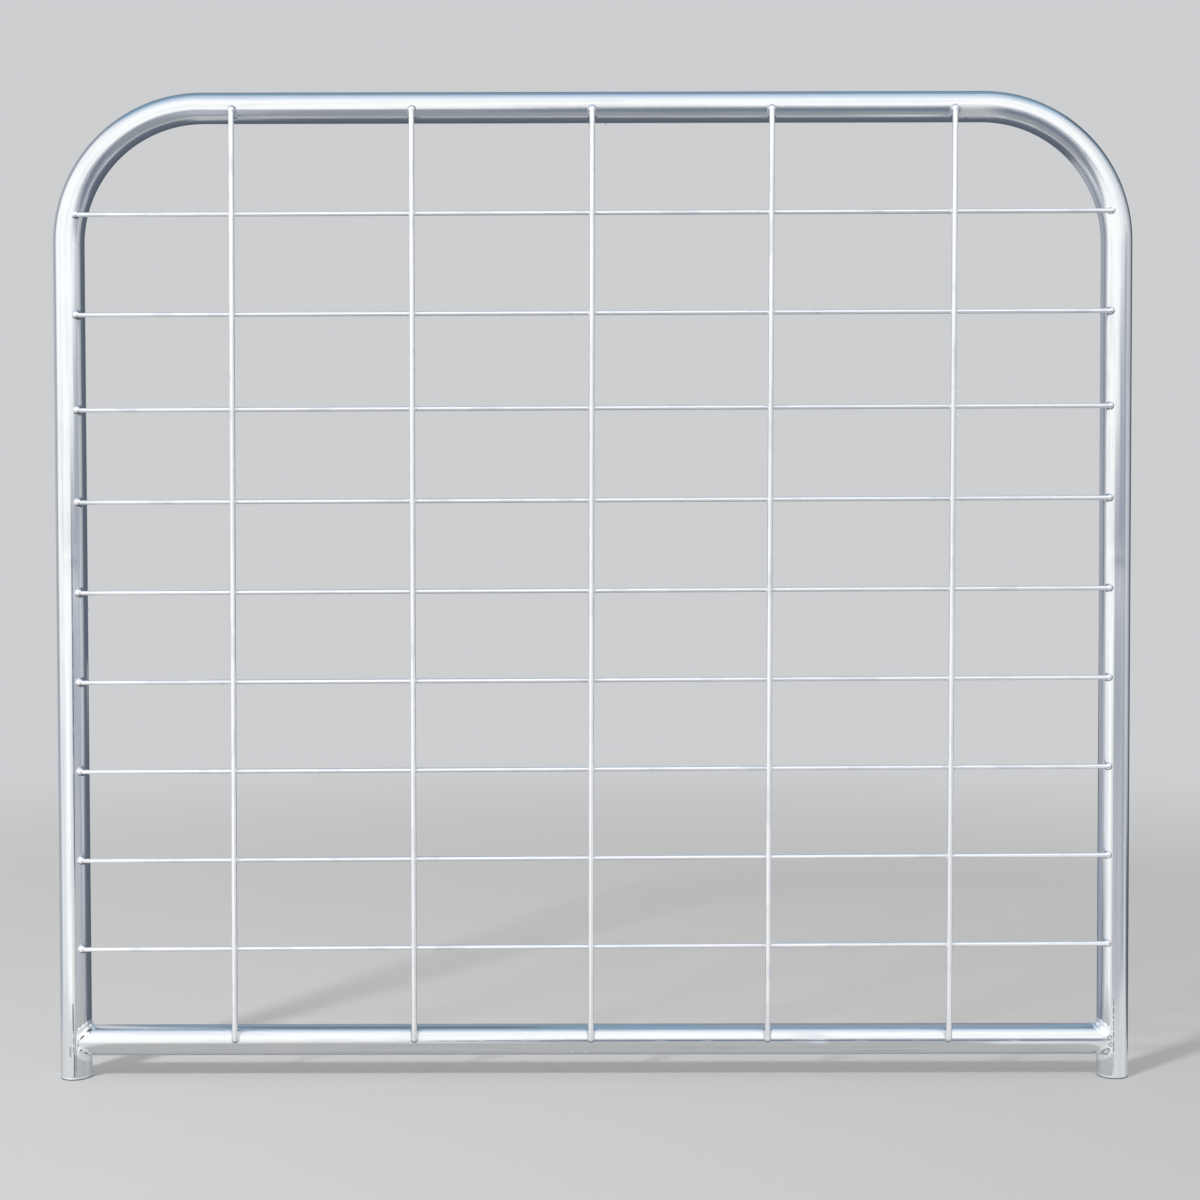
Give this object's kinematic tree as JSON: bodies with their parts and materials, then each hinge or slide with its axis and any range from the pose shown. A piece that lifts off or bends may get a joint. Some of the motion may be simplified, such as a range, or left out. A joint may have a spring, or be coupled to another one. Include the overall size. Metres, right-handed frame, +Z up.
{
  "type": "farm gate",
  "caption": "Galvanised steel farm gate leaf: an arch of bent round tube with open feet, a straight rail welded between its legs near the ground, and welded wire mesh over the opening.",
  "frame": {"origin": "centre of the left leg's open foot, in the plane that both feet stand on", "axes": "+X along the gate to the right leg, +Y away from the side with the mesh, +Z up"},
  "size_m": [1.2001, 0.0406, 1.1],
  "materials": {
    "zinc_tube": "bright hot-dip zinc",
    "zinc_wire": "bright hot-dip zinc",
    "zinc_weld": "rough zinc over weld"
  },
  "bodies": {
    "root": {"left_leg": "zinc_tube", "right_leg": "zinc_tube", "left_bend": "zinc_tube", "right_bend": "zinc_tube", "top_rail": "zinc_tube", "bottom_rail": "zinc_tube", "left_rail_weld": "zinc_weld", "right_rail_weld": "zinc_weld", "upright_wire_1": "zinc_wire", "upright_wire_2": "zinc_wire", "upright_wire_3": "zinc_wire", "upright_wire_4": "zinc_wire", "upright_wire_5": "zinc_wire", "cross_wire_1": "zinc_wire", "cross_wire_2": "zinc_wire", "cross_wire_3": "zinc_wire", "cross_wire_4": "zinc_wire", "cross_wire_5": "zinc_wire", "cross_wire_6": "zinc_wire", "cross_wire_7": "zinc_wire", "cross_wire_8": "zinc_wire", "cross_wire_9": "zinc_wire", "top_rail_wire_welds": "zinc_weld", "bottom_rail_wire_welds": "zinc_weld", "left_leg_wire_welds": "zinc_weld", "right_leg_wire_welds": "zinc_weld"}
  },
  "joints": []
}
